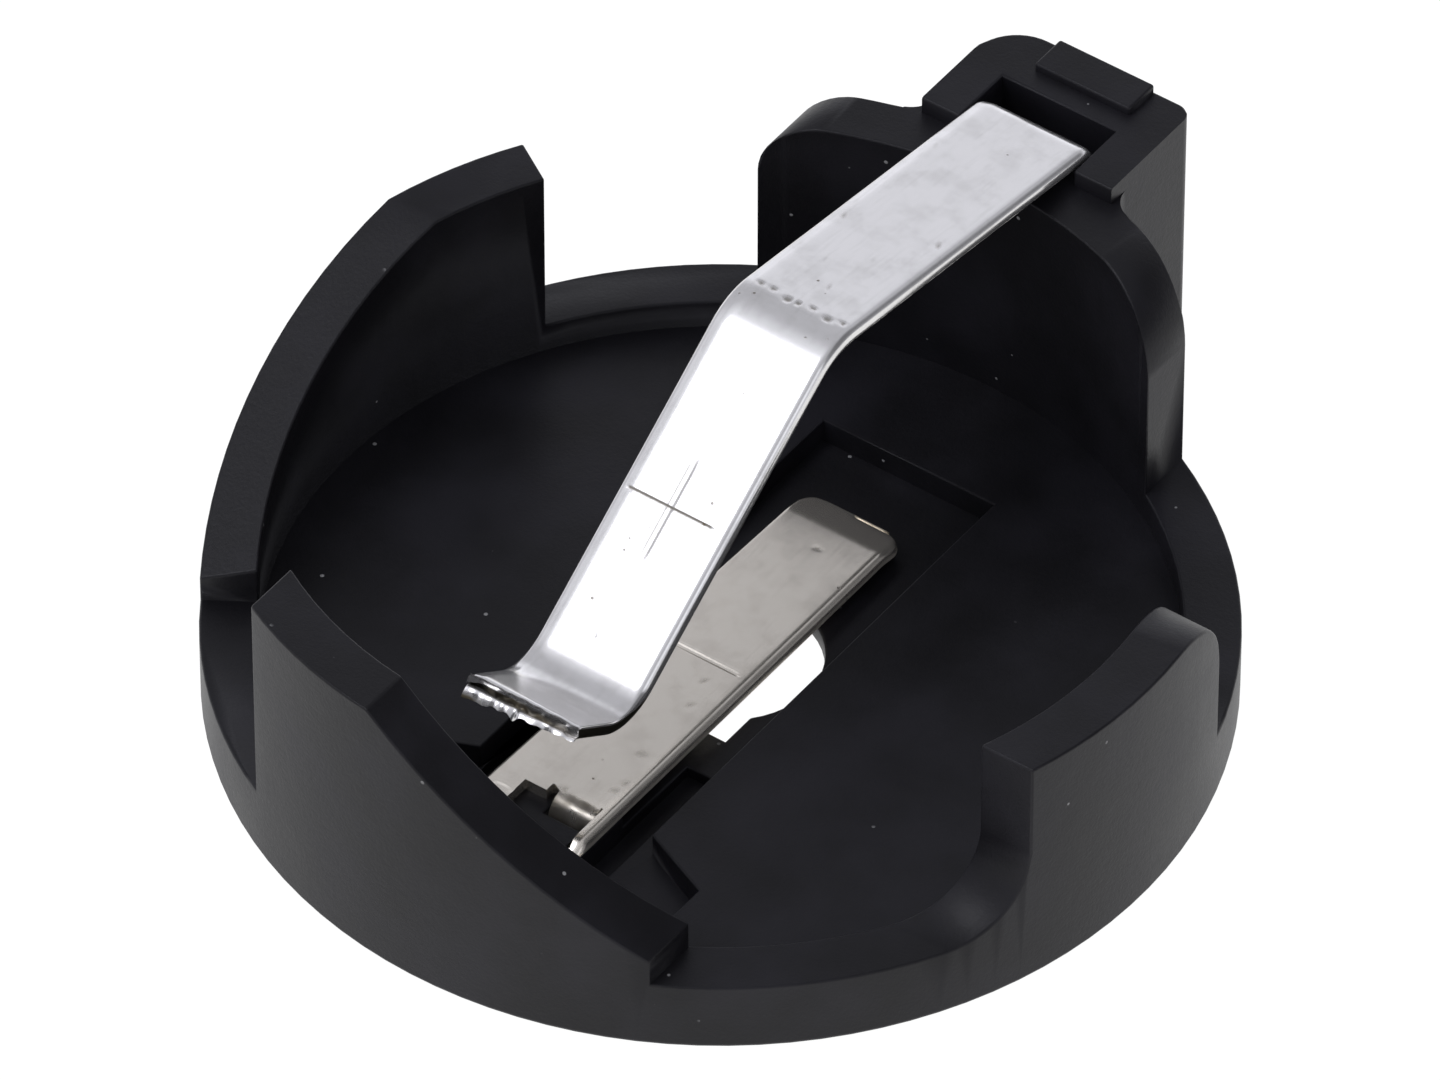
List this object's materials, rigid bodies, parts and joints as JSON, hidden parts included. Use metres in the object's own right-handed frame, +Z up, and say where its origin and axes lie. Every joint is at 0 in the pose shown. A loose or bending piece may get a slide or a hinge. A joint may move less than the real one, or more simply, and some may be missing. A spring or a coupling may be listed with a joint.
{
  "type": "coin cell holder",
  "caption": "Through-hole holder for a 20 mm coin cell: a round moulded housing with guide walls, a spring contact from its tower and a second in its floor.",
  "frame": {"origin": "centre of the round base, on its underside, which lies on the board", "axes": "+Z up, out of the pocket; +Y from the centre towards the tower of the positive contact; +X to its right"},
  "size_m": [0.0232, 0.0261, 0.0126],
  "materials": {
    "moulding": "satin moulded nylon",
    "contact": "bright nickel plate on spring sheet"
  },
  "bodies": {
    "root": {"housing": "moulding", "positive_contact": "contact", "negative_contact": "contact"}
  },
  "joints": []
}
